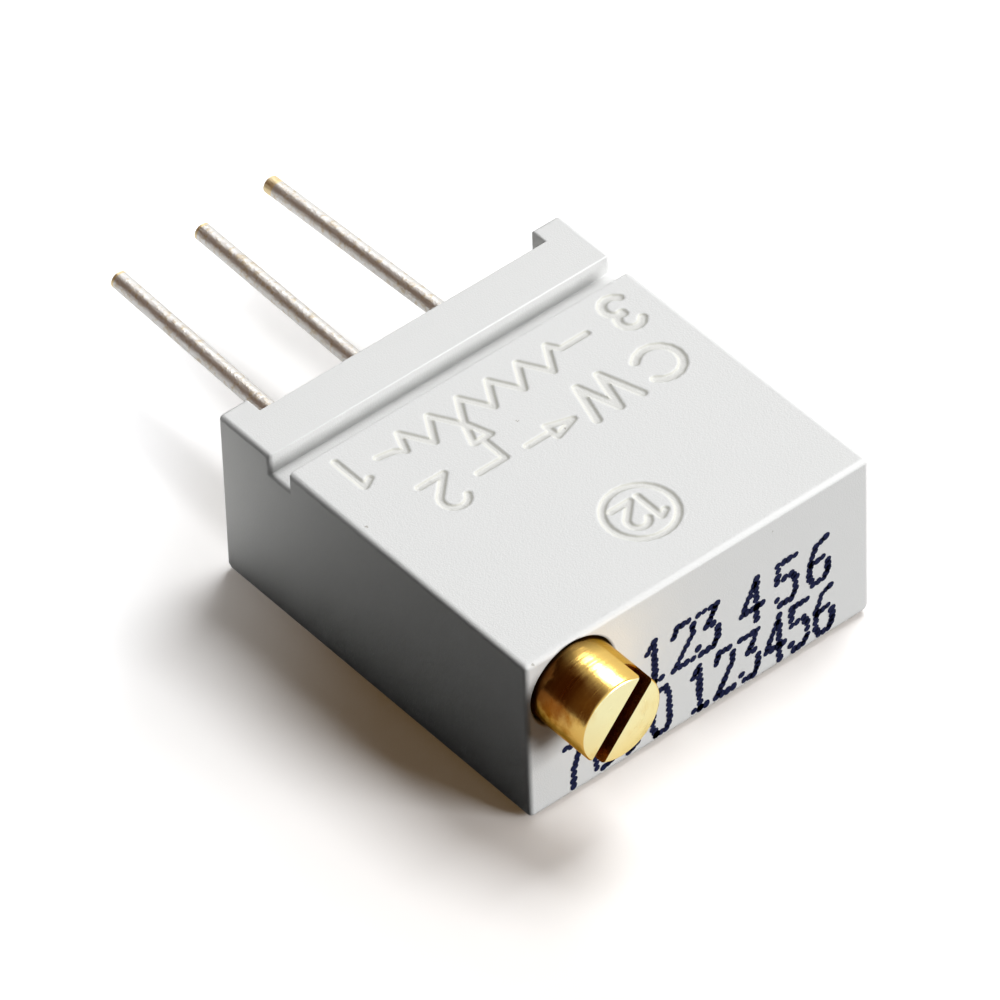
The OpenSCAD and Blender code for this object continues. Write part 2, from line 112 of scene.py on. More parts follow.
def tint(tree, mask, plain, other):
    """A colour that goes from plain to other as the mask goes from 0 to 1."""
    made = tree.nodes.new("ShaderNodeMix")
    made.data_type = "RGBA"
    for name, value in {"Factor": mask, "A": plain, "B": other}.items():
        socket = next(s for s in made.inputs if s.name == name and s.enabled)
        if isinstance(value, bpy.types.NodeSocket):
            tree.links.new(value, socket)
        else:
            socket.default_value = value if name == "Factor" else (*value, 1)
    return next(s for s in made.outputs if s.enabled)


def make_grain_group():
    """Fine grain, broad patches and a few specks, which the part's finishes share."""
    group = bpy.data.node_groups.new("surface_grain", "ShaderNodeTree")
    face = group.interface
    face.new_socket("Place", in_out="INPUT", socket_type="NodeSocketVector")
    face.new_socket("Grain Scale", in_out="INPUT", socket_type="NodeSocketFloat")
    face.new_socket("Speck Scale", in_out="INPUT", socket_type="NodeSocketFloat")
    for name in ("Grain", "Patches", "Specks"):
        face.new_socket(name, in_out="OUTPUT", socket_type="NodeSocketFloat")
    start = group.nodes.new("NodeGroupInput").outputs
    end = group.nodes.new("NodeGroupOutput").inputs
    place = start["Place"]
    bent = add(group, "TexNoise", {"Vector": place, "Scale": 14000.0}).outputs["Color"]
    nudged = {0: bent, 1: (0.0001, 0.0001, 0.0001), 2: place}
    ragged = add(group, "VectorMath", nudged, operation="MULTIPLY_ADD").outputs[0]
    cells = add(group, "TexVoronoi", {"Vector": ragged, "Scale": start["Speck Scale"]}).outputs
    near = maths(group, "LESS_THAN", cells["Distance"], 0.055)
    draw = add(group, "SeparateColor", {0: cells["Color"]}).outputs[0]
    few = maths(group, "GREATER_THAN", draw, 0.86)
    group.links.new(noise(group, place, start["Grain Scale"], 3.0), end["Grain"])
    group.links.new(noise(group, place, 420.0, 2.0), end["Patches"])
    group.links.new(maths(group, "MULTIPLY", near, few), end["Specks"])
    return group


surface_grain = make_grain_group()


def start_material(name, color, roughness, metallic=0.0):
    """A named material with its constants set, and what the patterns on it need."""
    material = bpy.data.materials.new(name)
    material.use_nodes = True
    tree = material.node_tree
    shader = tree.nodes["Principled BSDF"]
    shader.inputs["Base Color"].default_value = (*color, 1)
    shader.inputs["Roughness"].default_value = roughness
    shader.inputs["Metallic"].default_value = metallic
    place = add(tree, "TexCoord").outputs["Object"]
    return material, tree, shader, place


def place_grain(tree, place, grain, specks=900.0):
    """The grain group in a material, with the size of its grain."""
    made = add(tree, "Group", node_tree=surface_grain)
    tree.links.new(place, made.inputs["Place"])
    made.inputs["Grain Scale"].default_value = grain
    made.inputs["Speck Scale"].default_value = specks
    return made.outputs


def feed(tree, shader, socket, value):
    """A pattern led to one of the shader's sockets."""
    tree.links.new(value, shader.inputs[socket])


def roughen(tree, shader, height, depth):
    """A bump of the given depth in metres on the shader's normal."""
    bump = add(tree, "Bump", {"Height": height, "Strength": 1.0, "Distance": depth})
    feed(tree, shader, "Normal", bump.outputs[0])


def off_screw_axis(tree, place):
    """Which way and how far a point lies off the screw's axis, square to it."""
    back = (-screw_axis[0] * MM, 0, -screw_axis[1] * MM)
    return add(tree, "Mapping", {"Vector": place, "Location": back, "Scale": (1, 0, 1)}).outputs[0]


def make_case_plastic():
    """Pale grey satin plastic: spark-eroded grain, faint flow patches, painted shade in the marks and round
    the bore.
    """
    material, tree, shader, place = start_material("case_plastic", (0.755, 0.76, 0.75), 0.45)
    shader.inputs["Specular IOR Level"].default_value = 0.17
    grain = place_grain(tree, place, 26000.0, 1300.0)
    patches = maths(tree, "MULTIPLY", grain["Patches"], 0.5)
    color = tint(tree, patches, (0.77, 0.772, 0.765), (0.735, 0.742, 0.735))
    # Painted shade: the sunk marks are tinted darker and olive, most on their sloping walls
    sunk = add(tree, "Attribute", attribute_name="sunk").outputs["Fac"]
    color = tint(tree, maths(tree, "MULTIPLY", sunk, 0.3), color, (0.70, 0.69, 0.62))
    slope = maths(tree, "MULTIPLY", sunk, maths(tree, "SUBTRACT", 1.0, sunk))
    color = tint(tree, maths(tree, "MULTIPLY", slope, 1.8), color, (0.54, 0.53, 0.43))
    specks = maths(tree, "MULTIPLY", grain["Specks"], 0.55)
    color = tint(tree, specks, color, (0.25, 0.22, 0.17))
    # Painted shade lies on the screw face, in a ragged ring round the bore, and not on the marked face
    bore_shade_start, bore_shade_end, behind_front, near_top = 0.00126, 0.00134, -0.0047, 0.00475
    away = measure(tree, "LENGTH", off_screw_axis(tree, place))
    ragged = maths(tree, "ADD", away, maths(tree, "MULTIPLY", grain["Patches"], 0.0002))
    shade_by_bore = ramp(tree, ragged, bore_shade_start, bore_shade_end, 1.0, 0.0)
    parts = add(tree, "SeparateXYZ", {0: place}).outputs
    at_front = maths(tree, "LESS_THAN", parts["Y"], behind_front)
    under_top = maths(tree, "LESS_THAN", parts["Z"], near_top)
    bore_shade = maths(tree, "MULTIPLY", shade_by_bore, maths(tree, "MULTIPLY", at_front, under_top))
    feed(tree, shader, "Base Color", tint(tree, bore_shade, color, (0.05, 0.04, 0.03)))
    uneven = maths(tree, "ADD", maths(tree, "MULTIPLY", grain["Grain"], 0.16), 0.4)
    feed(tree, shader, "Roughness", uneven)
    roughen(tree, shader, grain["Grain"], 0.000006)
    return material


def only(kind, parts):
    """The vertices, edges or faces among what an operator gives back."""
    return [part for part in parts if isinstance(part, kind)]


def flat_solid(points, width):
    """A solid from its outline in Y and Z, centred on X = 0."""
    shape = bmesh.new()
    face = shape.faces.new([shape.verts.new((-width / 2, y, z)) for y, z in points])
    pulled = bmesh.ops.extrude_face_region(shape, geom=[face])["geom"]
    bmesh.ops.translate(shape, vec=(width, 0, 0), verts=only(bmesh.types.BMVert, pulled))
    bmesh.ops.recalc_face_normals(shape, faces=shape.faces)
    return shape


def block(low, high):
    """A box from its lowest to its highest corner."""
    shape = bmesh.new()
    bmesh.ops.create_cube(shape, size=1)
    low, high = Vector(low), Vector(high)
    bmesh.ops.scale(shape, vec=high - low, verts=shape.verts)
    bmesh.ops.translate(shape, vec=(low + high) / 2, verts=shape.verts)
    return shape


def loose_object(shape):
    """The shape as an object, for a modifier to work on."""
    mesh = bpy.data.meshes.new("blank")
    shape.to_mesh(mesh)
    shape.free()
    made = bpy.data.objects.new("blank", mesh)
    bpy.context.collection.objects.link(made)
    return made


def discard(made):
    """Take a loose object away with its mesh."""
    mesh = made.data
    bpy.data.objects.remove(made)
    bpy.data.meshes.remove(mesh)


def shape_of(made):
    """What an object's modifiers make of it, with the object taken away again."""
    shaped = made.evaluated_get(bpy.context.evaluated_depsgraph_get())
    shape = bmesh.new()
    shape.from_mesh(shaped.to_mesh())
    shaped.to_mesh_clear()
    discard(made)
    return shape


def carve(shape, tool, operation="DIFFERENCE"):
    """The shape with the tool cut from it or joined to it."""
    blank, cutter = loose_object(shape), loose_object(tool)
    step = blank.modifiers.new("carve", "BOOLEAN")
    step.operation = operation
    step.object = cutter
    step.solver = "EXACT"
    result = shape_of(blank)
    discard(cutter)
    return result


def turned(profile, centre, steps, angle=2 * math.pi, climb=0.0):
    """A profile of (radius, y) points turned round an axis along Y through centre (x, z)."""
    shape = bmesh.new()
    verts = [shape.verts.new((centre[0] + r, y, centre[1])) for r, y in profile]
    edges = [shape.edges.new(pair) for pair in zip(verts, verts[1:])]
    bmesh.ops.spin(
        shape, geom=verts + edges, cent=(centre[0], 0, centre[1]), axis=(0, 1, 0), dvec=(0, climb / steps, 0),
        angle=angle, steps=steps, use_merge=climb == 0)
    bmesh.ops.remove_doubles(shape, verts=shape.verts, dist=1e-5)
    bmesh.ops.recalc_face_normals(shape, faces=shape.faces)
    return shape


def make_piece(name, shape, material, body, nodes, crease=32):
    """A finished piece: its shape is drawn in millimetres and stored in metres."""
    bmesh.ops.remove_doubles(shape, verts=shape.verts, dist=1e-5)
    bmesh.ops.recalc_face_normals(shape, faces=shape.faces)
    bmesh.ops.scale(shape, vec=(MM, MM, MM), verts=shape.verts)
    mesh = bpy.data.meshes.new(name)
    shape.to_mesh(mesh)
    shape.free()
    mesh.shade_smooth()
    mesh.set_sharp_from_angle(angle=math.radians(crease))
    mesh.materials.append(material)
    piece = bpy.data.objects.new(name, mesh)
    bpy.context.collection.objects.link(piece)
    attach(piece, body)
    if nodes:
        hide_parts(*nodes)
    return piece


def arc(centre, radius, start, stop, steps=8):
    """Points on an arc, in degrees, for one stroke of a mark."""
    angles = [math.radians(start + (stop - start) * i / steps) for i in range(steps + 1)]
    return [(centre[0] + radius * math.cos(a), centre[1] + radius * math.sin(a)) for a in angles]


def mark_strokes():
    """The moulded marks as half widths and strokes, for a reader who has the screw end on top."""
    broad, fine = 0.125, 0.105
    one = [[(0.05, 0.86), (0.3, 1), (0.3, 0)]]
    two = [arc((0.32, 0.7), 0.3, 160, -35) + [(0.02, 0), (0.68, 0)]]
    three = [arc((0.3, 0.745), 0.255, 150, -90) + arc((0.3, 0.27), 0.27, 90, -150)]
    letter_c = [arc((0.5, 0.5), 0.5, 40, 320, 12)]
    letter_w = [[(0, 1), (0.32, 0), (0.6, 1), (0.9, 0), (1.2, 1)]]
    placed = [
        (broad, three, (-4.35, -2.76), 1.14),
        (broad, letter_c, (-4.11, -0.93), 1.1),
        (broad, letter_w, (-2.63, -0.98), 1.11),
        (fine, one, (3.66, -2.72), 1.05),
        (fine, two, (2.36, -0.84), 1.08),
        (fine, one, (-0.62, 2.58), 0.84),
        (fine, two, (-0.16, 2.58), 0.84),
    ]
    strokes = [
        (half_width, [(corner[0] + height * u, corner[1] + height * v) for u, v in line])
        for half_width, glyph, corner, height in placed for line in glyph
    ]
    teeth = [(2.32 - 0.434 * i, -2.12 + (-0.38 if i % 2 == 0 else 0.38)) for i in range(11)]
    resistor = [(3.18, -2.2), (2.75, -2.12), (2.55, -1.95)] + teeth + [(-2.2, -2.2), (-2.95, -2.2)]
    wiper_head = [(1, -1.78), (0.78, -1.12), (1.26, -1.12), (1, -1.78)]
    wiper_line = [(1.02, -1.12), (1.02, -0.32), (1.8, -0.32)]
    turn_head = [(-0.92, -0.27), (-0.3, -0.48), (-0.3, -0.06), (-0.92, -0.27)]
    turn_line = [(-0.3, -0.27), (0.42, -0.27)]
    ring = arc((-0.1, 3), 0.86, 0, 360, 24)
    drawn = (resistor, wiper_head, wiper_line, turn_head, turn_line, ring)
    return strokes + [(fine, line) for line in drawn]


def distance_to_strokes(x, y):
    """How far each point of the broad face is outside the nearest stroke, and below 0 inside one."""
    nearest = np.full(len(x), np.inf)
    for half_width, line in mark_strokes():
        for (u0, v0), (u1, v1) in zip(line, line[1:]):
            ax, ay, bx, by = -u0, -v0, -u1, -v1
            length = (bx - ax) ** 2 + (by - ay) ** 2
            share = np.clip(((x - ax) * (bx - ax) + (y - ay) * (by - ay)) / length, 0, 1)
            away = np.hypot(x - ax - share * (bx - ax), y - ay - share * (by - ay))
            nearest = np.minimum(nearest, away - half_width)
    return nearest


def make_case():
    """The box from its side outline: given feet, rounded, hollowed out, and then marked."""
    hair = 0.01
    shape = flat_solid([
        (front, 0), (lead_face, 0), (lead_face, rib_top), (rib_start, rib_top), (rib_start, groove_floor),
        (groove_start, groove_floor), (groove_start, top), (front, top)], 2 * side)
    for x in (-foot_side, foot_side):
        everything = shape.verts[:] + shape.edges[:] + shape.faces[:]
        bmesh.ops.bisect_plane(shape, geom=everything, plane_co=(x, 0, 0), plane_no=(1, 0, 0))
    shape.normal_update()
    ends = [
        f for f in shape.faces
        if f.normal.y > 0.9 and f.calc_center_median().y > lead_face - hair
        and abs(f.calc_center_median().x) > foot_side
    ]
    pulled = bmesh.ops.extrude_face_region(shape, geom=ends)["geom"]
    bmesh.ops.delete(shape, geom=ends, context="FACES_ONLY")
    feet = only(bmesh.types.BMVert, pulled)
    bmesh.ops.translate(shape, vec=(0, foot_end - lead_face, 0), verts=feet)
    bmesh.ops.dissolve_limit(
        shape, angle_limit=math.radians(1), verts=shape.verts, edges=shape.edges,
        use_dissolve_boundaries=False)
    # Edge radii: generous round the plain face, tight round the marked face and the groove
    weights = shape.edges.layers.float.new("bevel_weight_edge")
    for edge in shape.edges:
        if edge.calc_face_angle(0) < 0.3:
            continue
        middle = (edge.verts[0].co + edge.verts[1].co) / 2
        if middle.z < hair:
            edge[weights] = 1.0
        elif middle.y > lead_face - hair and abs(middle.x) < foot_side + hair:
            edge[weights] = 0.2
        elif edge.calc_face_angle_signed(0) < 0:
            edge[weights] = 0.12
        elif groove_start - hair < middle.y < rib_start + hair and abs(middle.x) < side - hair:
            edge[weights] = 0.14
        else:
            edge[weights] = top_edge / bottom_edge
    blank = loose_object(shape)
    rounding = blank.modifiers.new("edges", "BEVEL")
    rounding.limit_method = "WEIGHT"
    rounding.width = bottom_edge
    rounding.segments = 4
    shape = shape_of(blank)
    # The screw's bore and its eased rim, then the cavity and its mouth at the lead end
    outside, bore_radius, bore_end = -5.4, 1.18, -3.2
    rim_axis, rim_radius, rim_start, rim_end = (-3.7, 3.543), 1.22, -5.11, -4.97
    inner_side, inner_floor, cavity_roof, mouth_roof = 4.315, 0.75, 4.16, 3.85
    bore = [(0, outside), (bore_radius, outside), (bore_radius, bore_end), (0, bore_end)]
    rim = [(0, outside), (rim_radius, outside), (rim_radius, rim_start), (1.08, rim_end), (0, rim_end)]
    shape = carve(shape, turned(bore, screw_axis, 96))
    shape = carve(shape, turned(rim, rim_axis, 96))
    shape = carve(shape, block((-inner_side, -4.36, inner_floor), (inner_side, 3.02, cavity_roof)))
    shape = carve(shape, block((-inner_side, 2.9, inner_floor), (inner_side, 5.7, mouth_roof)))
    # The marks: the broad face in small squares, which sink softly along the strokes
    slope_width = 0.05
    sunk = shape.verts.layers.float.new("sunk")
    shape.normal_update()
    upper = [f for f in shape.faces if f.normal.z > 0.99 and f.calc_center_median().z > 4.5]
    broad = max(upper, key=lambda f: f.calc_area())
    bmesh.ops.subdivide_edges(shape, edges=broad.edges[:], cuts=270, use_grid_fill=True)
    level = [
        v for v in shape.verts
        if abs(v.co.z - top) < 1e-4 and all(f.normal.z > 0.5 for f in v.link_faces)
    ]
    away = distance_to_strokes(np.array([v.co.x for v in level]), np.array([v.co.y for v in level]))
    share = np.clip(-away / slope_width, 0, 1)
    for vert, down in zip(level, share * share * (3 - 2 * share)):
        vert.co.z -= mark_depth * float(down)
        vert[sunk] = float(down)
    return shape


case = make_piece("case", make_case(), make_case_plastic(), "case", ["housing"], crease=50)
case.modifiers.new("even_faces", "WEIGHTED_NORMAL").keep_sharp = True

# --- Printed digits ---------------------------------------------------------------------------
# Two rows of running digits on the screw face, put on with dark blue ink by a print head that fires
# one small drop at a time. The drops run into each other along the strokes.
DIGIT_HEIGHT = 6
DIGITS = {
    "0": [[(0.7, 0), (0, 1.2), (0, 4.8), (0.7, 6), (2.6, 6), (3.3, 4.8), (3.3, 1.2), (2.6, 0), (0.7, 0)]],
    "1": [[(0.5, 4.8), (1.7, 6), (1.7, 0)], [(0.5, 0), (2.9, 0)]],
    "2": [[(0, 4.8), (0.7, 6), (2.6, 6), (3.3, 5), (3.3, 3.8), (0, 0), (3.3, 0)]],
    "3": [[(0, 6), (3.3, 6), (1.5, 3.6), (2.6, 3.4), (3.3, 2.4), (3.3, 1), (2.5, 0), (0.6, 0), (0, 1)]],
    "4": [[(2.6, 0), (2.6, 6), (0, 1.9), (3.5, 1.9)]],
    "5": [[(3.2, 6), (0.2, 6), (0.1, 3.5), (2.5, 3.7), (3.3, 2.7), (3.3, 1), (2.5, 0), (0.6, 0), (0, 0.9)]],
    "6": [[(2.9, 6), (1.3, 5.4), (0.1, 3.4), (0, 1.1), (0.7, 0), (2.5, 0), (3.3, 1.1), (3.2, 2.4),
           (2.4, 3.3), (0.4, 3)]],
    "7": [[(0, 6), (3.3, 6), (1.6, 2.6), (1.4, 0)]],
    "8": [[(1.6, 3.2), (0.1, 4.2), (0.3, 5.6), (1.6, 6), (2.9, 5.6), (3.1, 4.2), (1.6, 3.2), (0, 2),
           (0.2, 0.5), (1.6, 0), (3.1, 0.5), (3.3, 2), (1.6, 3.2)]],
    "9": [[(0.4, 0), (2, 0.6), (3.2, 2.6), (3.3, 4.9), (2.6, 6), (0.8, 6), (0, 4.9), (0.1, 3.6),
           (0.9, 2.7), (2.9, 3)]],
}
upper_row = ("123456", (-1.63, -0.78, -0.06, 1.22, 2.26, 3.22), 1.96, 3.22, 0.17)
lower_row = ("7890123456", (-3.97, -3.1, -2.2, -1.43, -0.3, 0.44, 1.18, 1.92, 2.66, 3.4), 0.3, 1.62, 0.15)
drop_pitch = 0.165
drop_radius = 0.1
drop_height = 0.008
scatter = 0.007


def make_ink():
    """Dark blue ink, thin and slightly uneven, with a low sheen."""
    material, tree, shader, place = start_material("marking_ink", (0.006, 0.009, 0.04), 0.55)
    shader.inputs["Specular IOR Level"].default_value = 0.06
    grain = place_grain(tree, place, 9000.0)
    color = tint(tree, grain["Grain"], (0.002, 0.003, 0.018), (0.012, 0.017, 0.07))
    feed(tree, shader, "Base Color", color)
    roughen(tree, shader, grain["Grain"], 0.000004)
    return material


def drops_along(line):
    """Points a drop's pitch apart along a stroke."""
    places = []
    for (x0, z0), (x1, z1) in zip(line, line[1:]):
        count = max(1, round(math.hypot(x1 - x0, z1 - z0) / drop_pitch))
        places += [(x0 + (x1 - x0) * i / count, z0 + (z1 - z0) * i / count) for i in range(count)]
    return places + [line[-1]]


def make_print():
    """Both rows, drop by drop. A row has its digits, where each starts, its foot, its head and its spread."""
    chance = random.Random(4)
    shape = bmesh.new()
    stand = Matrix.Rotation(math.radians(90), 4, "X")
    for digits, places, low, high, across in (upper_row, lower_row):
        for digit, x in zip(digits, places):
            drops = []
            for line in DIGITS[digit]:
                line = [(x + across * u, low + (high - low) * v / DIGIT_HEIGHT) for u, v in line]
                drops += drops_along(line)
            for over, up in drops:
                wide = drop_radius * chance.uniform(0.85, 1.15)
                spot = Matrix.Translation((
                    over + chance.gauss(0, scatter), front - drop_height / 2, up + chance.gauss(0, scatter)))
                lean = Matrix.Rotation(math.radians(chance.uniform(-20, -70)), 4, "Y")
                bmesh.ops.create_cone(
                    shape, cap_ends=True, segments=9, radius1=wide * 0.75, radius2=wide, depth=drop_height,
                    matrix=spot @ lean @ Matrix.Diagonal((1.15, 1, 0.95, 1)) @ stand)
    return shape


make_piece("printed_digits", make_print(), make_ink(), "case", [])

# --- Worm wheel -------------------------------------------------------------------------------
# A small wheel of blue acetal, moulded with its slanted teeth, its blind bore and its stop lug. It hangs
# on the pivot under the roof of the case, and the screw's thread turns it.


def dress(node, material):
    """A CAD node that keeps its shape gets a better material."""
    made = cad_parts[node]
    made.data.materials.clear()
    made.data.materials.append(material)


def make_wheel_plastic():
    """Blue plastic with faint flow patches."""
    material, tree, shader, place = start_material("wheel_plastic", (0.03, 0.16, 0.27), 0.38)
    grain = place_grain(tree, place, 15000.0)
    color = tint(tree, grain["Patches"], (0.025, 0.14, 0.25), (0.04, 0.19, 0.30))
    feed(tree, shader, "Base Color", color)
    roughen(tree, shader, grain["Grain"], 0.000004)
    return material


dress("worm_wheel", make_wheel_plastic())

# --- Contact spring ---------------------------------------------------------------------------
# A stamping of thin gilded copper alloy, riveted under the wheel. Its fingers press on the track, and
# its folded tongue presses on the collector in the middle.


def make_metal(name, light, dark, roughness, grain_scale, depth):
    """A metal with a fine grain in its colour, its gloss and its surface."""
    material, tree, shader, place = start_material(name, light, roughness, 1.0)
    grain = place_grain(tree, place, grain_scale)
    feed(tree, shader, "Base Color", tint(tree, grain["Grain"], light, dark))
    uneven = maths(tree, "ADD", maths(tree, "MULTIPLY", grain["Patches"], 0.2), roughness - 0.1)
    feed(tree, shader, "Roughness", uneven)
    roughen(tree, shader, grain["Grain"], depth)
    return material


gilding = make_metal("spring_metal", (0.78, 0.60, 0.32), (0.66, 0.48, 0.24), 0.28, 20000.0, 0.000002)
dress("contact_spring", gilding)

# --- Resistance element -----------------------------------------------------------------------
# A plate of white fired alumina, with a dark cermet track and pale silver-palladium films printed and
# fired on it. It lies on the two rails in the case.


def make_fired(name, light, dark, roughness, grain_scale):
    """A fired surface with a fine sintered grain."""
    material, tree, shader, place = start_material(name, light, roughness)
    grain = place_grain(tree, place, grain_scale)
    feed(tree, shader, "Base Color", tint(tree, grain["Grain"], light, dark))
    roughen(tree, shader, grain["Grain"], 0.000003)
    return material


dress("ceramic_plate", make_fired("ceramic", (0.86, 0.85, 0.81), (0.76, 0.75, 0.71), 0.55, 22000.0))
dress("resistive_track", make_fired("cermet_ink", (0.035, 0.035, 0.04), (0.012, 0.012, 0.014), 0.6, 30000.0))
film = make_metal("conductor_film", (0.72, 0.73, 0.75), (0.55, 0.55, 0.56), 0.42, 26000.0, 0.000003)
for node in ("collector_film", "end_film_1", "end_film_3"):
    dress(node, film)

# --- Leads and their solder -------------------------------------------------------------------
# Three round copper wires dipped in tin, each coined flat at its inner end and soldered to its film. Out
# of the potting they run straight, then lean a little, and shears have cut them off.
lead_axis_z = 2.42
lead_radius = 0.23
lead_pitch = 2.54
lead_bend = 6.41


def make_tinned_wire():
    """Dull tin, drawn along the wire and pitted: a brown bloom in the pits, and bare metal at the cut."""
    material, tree, shader, place = start_material("tinned_wire", (0.88, 0.87, 0.85), 0.45, 1.0)
    drawn = add(tree, "Mapping", {"Vector": place, "Scale": (1.0, 0.3, 1.0)}).outputs[0]
    grain = place_grain(tree, drawn, 15000.0)
    pits = noise(tree, place, 7000.0, 4.0, 0.7)
    bloom = ramp(tree, pits, 0.5, 0.66, 0.0, 0.8)
    color = tint(tree, bloom, (0.74, 0.73, 0.71), (0.56, 0.46, 0.30))
    cut_start = 0.01263
    along = add(tree, "SeparateXYZ", {0: place}).outputs["Y"]
    bare = maths(tree, "GREATER_THAN", along, cut_start)
    color = tint(tree, maths(tree, "MULTIPLY", bare, 0.7), color, (0.85, 0.66, 0.30))
    feed(tree, shader, "Base Color", color)
    feed(tree, shader, "Roughness", maths(tree, "ADD", maths(tree, "MULTIPLY", pits, 0.35), 0.28))
    both = maths(tree, "ADD", grain["Grain"], maths(tree, "MULTIPLY", pits, 2.0))
    roughen(tree, shader, both, 0.000009)
    return material


def make_lead(number, lean):
    """A ring of wire pulled out station by station from its coined tail to its cut tip."""
    low, high = box_of("lead_%d" % number)
    centre = Vector(((number - 2) * lead_pitch, low.y, lead_axis_z))
    coined = Matrix.Diagonal((1.19, 1, 0.65, 1))
    tail_end, round_again = 4.85, 4.99
    bend_start, bend_end, bend_steps = lead_bend - 0.35, lead_bend + 0.45, 7
    burr = 0.02
    tip = high.y - 0.01 - burr
    shape = bmesh.new()
    ring = bmesh.ops.create_circle(
        shape, cap_ends=True, segments=40, radius=lead_radius,
        matrix=Matrix.Translation(centre) @ Matrix.Rotation(math.radians(90), 4, "X"))["verts"]
    bmesh.ops.transform(shape, matrix=coined, space=Matrix.Translation(-centre), verts=ring)
    stations = [(tail_end, 0, None), (round_again, 0, coined.inverted()), (bend_start, 0, None)]
    stations += [(bend_start + 0.1 * i, lean / bend_steps, None) for i in range(1, bend_steps + 1)]
    stations += [(bend_end + (tip - bend_end) * i / 6, 0, None) for i in range(1, 7)]
    edges = list({e for v in ring for e in v.link_edges})
    heading = 0.0
    for y, turn, change in stations:
        pulled = bmesh.ops.extrude_edge_only(shape, edges=edges)["geom"]
        ring, edges = only(bmesh.types.BMVert, pulled), only(bmesh.types.BMEdge, pulled)
        heading += turn
        step = Vector((math.tan(math.radians(heading)) * (y - centre.y), y - centre.y, 0))
        bmesh.ops.translate(shape, vec=step, verts=ring)
        centre += step
        space = Matrix.Translation(-centre)
        if turn:
            swing = Matrix.Rotation(math.radians(-turn), 3, "Z")
            bmesh.ops.rotate(shape, cent=(0, 0, 0), matrix=swing, verts=ring, space=space)
        if change:
            bmesh.ops.transform(shape, matrix=change, space=space, verts=ring)
    pulled = bmesh.ops.extrude_edge_only(shape, edges=edges)["geom"]
    ring, edges = only(bmesh.types.BMVert, pulled), only(bmesh.types.BMEdge, pulled)
    bmesh.ops.translate(shape, vec=(0, burr, 0), verts=ring)
    bmesh.ops.contextual_create(shape, geom=edges)
    space = Matrix.Translation(-centre - Vector((0, burr, 0)))
    bmesh.ops.scale(shape, vec=(0.9, 1, 0.9), verts=ring, space=space)
    return shape


tinned = make_tinned_wire()
for number, lean in ((1, 1.7), (2, 1.1), (3, -1.8)):
    node = "lead_%d" % number
    make_piece(node + "_wire", make_lead(number, lean), tinned, "case", [node])
solder = make_metal("solder", (0.74, 0.75, 0.77), (0.60, 0.61, 0.62), 0.3, 7000.0, 0.000005)
for node in ("solder_1", "solder_2", "solder_3"):
    dress(node, solder)

# --- Retainer ---------------------------------------------------------------------------------
# A clip stamped from steel strip. It is pressed into its slot from inside the case, straddles the
# screw's neck and so keeps the screw in its bore.
clip_steel = make_metal("retainer_steel", (0.56, 0.57, 0.58), (0.45, 0.45, 0.46), 0.35, 24000.0, 0.000003)
dress("screw_retainer", clip_steel)

# --- Adjusting screw --------------------------------------------------------------------------
# A brass screw turned from bar: slotted head, groove for the seal ring, neck for the retainer, the worm's
# thread and the inner journal. The lathe leaves fine rings on it, and the slot is sawn last.
head_end = -6.759


